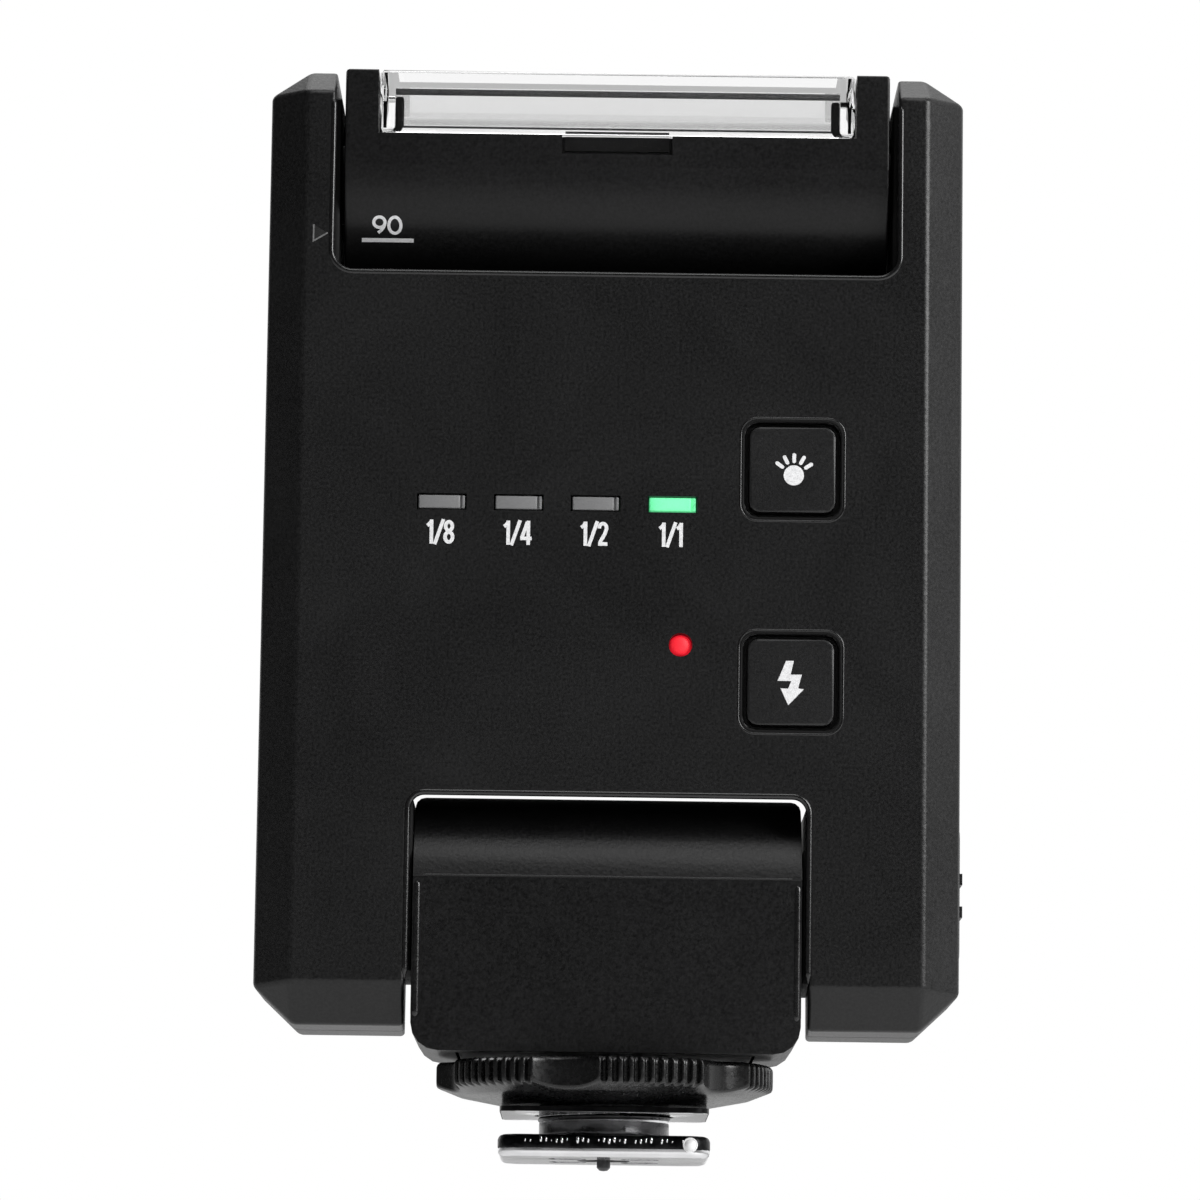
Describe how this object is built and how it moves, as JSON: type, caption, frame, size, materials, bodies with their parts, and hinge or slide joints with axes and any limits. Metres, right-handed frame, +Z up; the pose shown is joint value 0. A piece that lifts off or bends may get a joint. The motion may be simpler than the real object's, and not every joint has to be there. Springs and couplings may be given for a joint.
{
  "type": "folding hot-shoe flash",
  "caption": "Compact flat hot-shoe flash with a tilting head, a folding shoe foot, a ribbed lock wheel and a rear panel with push buttons and level windows.",
  "frame": {"origin": "centre of the shoe foot's underside", "axes": "+Z up the body from foot to head, +X to the right of a person facing the control panel, so the panel faces -Y and +Y is the camera's forward direction"},
  "size_m": [0.0628, 0.03, 0.0979],
  "materials": {
    "textured_black": "spark-eroded fine grain",
    "satin_black": "satin moulded",
    "clear_lens": "clear moulded acrylic with fine inner prisms",
    "grey_window": "translucent grey light pipe, unlit",
    "green_window": "translucent light pipe, lit green",
    "red_window": "translucent red dome, lit",
    "polished_steel": "polished plating",
    "dark_steel": "blackened steel",
    "brass": "turned contact",
    "nylon": "self-lubricating nylon",
    "mirror_aluminium": "bright anodised sheet",
    "tube_glass": "flash tube",
    "board_green": "circuit board laminate",
    "capacitor_sleeve": "shrink sleeve",
    "cell_wrap": "pouch foil",
    "ferrite": "potted winding",
    "wire_red": "insulated wire",
    "wire_black": "insulated wire",
    "rubber_grey": "silicone sleeve"
  },
  "bodies": {
    "foot_base": {"shoe_foot": "polished_steel", "base_block": "textured_black", "base_cover": "satin_black", "foot_screw_1": "dark_steel", "foot_screw_2": "dark_steel", "foot_screw_3": "dark_steel", "foot_screw_4": "dark_steel", "contact_insulator": "nylon", "contact_spring": "polished_steel", "contact_terminal": "brass", "shoe_lead": "wire_black", "fold_pin_left": "polished_steel", "fold_pin_right": "polished_steel", "fold_washer_left": "nylon", "fold_washer_right": "nylon", "fold_clip_left": "dark_steel", "fold_clip_right": "dark_steel"},
    "clamp_plate": {"pressure_plate": "dark_steel"},
    "lock_wheel": {"lock_wheel": "satin_black"},
    "shoe_contact": {"contact_pin": "brass"},
    "case": {"rear_shell": "textured_black", "front_shell": "textured_black", "case_screw_1": "dark_steel", "case_screw_2": "dark_steel", "case_screw_3": "dark_steel", "case_screw_4": "dark_steel", "led_window_eighth": "grey_window", "led_window_quarter": "grey_window", "led_window_half": "grey_window", "led_window_full": "green_window", "ready_lamp_lens": "red_window", "control_board": "board_green", "level_tact_switch": "dark_steel", "test_tact_switch": "dark_steel", "battery_cell": "cell_wrap", "main_capacitor": "capacitor_sleeve", "main_board": "board_green", "charging_transformer": "ferrite", "trigger_coil": "ferrite", "usb_c_socket": "polished_steel", "charging_board": "board_green", "slide_switch_body": "dark_steel", "switch_board": "board_green", "head_detent_spring": "polished_steel", "head_lead": "wire_red", "case_lead": "wire_black"},
    "level_button": {"level_button": "satin_black"},
    "test_button": {"test_button": "satin_black"},
    "power_slider": {"power_slider": "satin_black"},
    "flash_head": {"head_housing": "textured_black", "flash_window": "clear_lens", "reflector": "mirror_aluminium", "xenon_tube": "tube_glass", "tube_sleeve_left": "rubber_grey", "tube_sleeve_right": "rubber_grey", "head_trunnion_left": "nylon", "head_trunnion_right": "nylon", "head_detent_disc": "nylon"}
  },
  "joints": [
    {"name": "body_fold", "type": "hinge", "parent": "foot_base", "child": "case", "pos_m": [0, 0, 0.0219], "axis": [-1, 0, 0], "range_deg": [0, 90]},
    {"name": "head_tilt", "type": "hinge", "parent": "case", "child": "flash_head", "pos_m": [0, 0, 0.0882], "axis": [-1, 0, 0], "range_deg": [0, 90]},
    {"name": "clamp_slide", "type": "slide", "parent": "foot_base", "child": "clamp_plate", "axis": [0, 0, -1], "range_m": [0, 0.0015]},
    {"name": "lock_turn", "type": "hinge", "parent": "clamp_plate", "child": "lock_wheel", "pos_m": [0, 0, 0.0039], "axis": [0, 0, -1], "range_deg": [0, 360]},
    {"name": "contact_press", "type": "slide", "parent": "foot_base", "child": "shoe_contact", "axis": [0, 0, 1], "range_m": [0, 0.0007], "stiffness_N_per_m": 400, "springref_m": -0.0005, "deforming": ["contact_spring"]},
    {"name": "level_press", "type": "slide", "parent": "case", "child": "level_button", "axis": [0, 1, 0], "range_m": [0, 0.0005], "stiffness_N_per_m": 600, "springref_m": -0.0005},
    {"name": "test_press", "type": "slide", "parent": "case", "child": "test_button", "axis": [0, 1, 0], "range_m": [0, 0.0005], "stiffness_N_per_m": 600, "springref_m": -0.0005},
    {"name": "power_slide", "type": "slide", "parent": "case", "child": "power_slider", "axis": [0, 0, -1], "range_m": [0, 0.0023]}
  ],
  "couplings": [
    {"joint": "lock_turn", "follows": "clamp_slide", "rad_per_m": 4188.8}
  ]
}
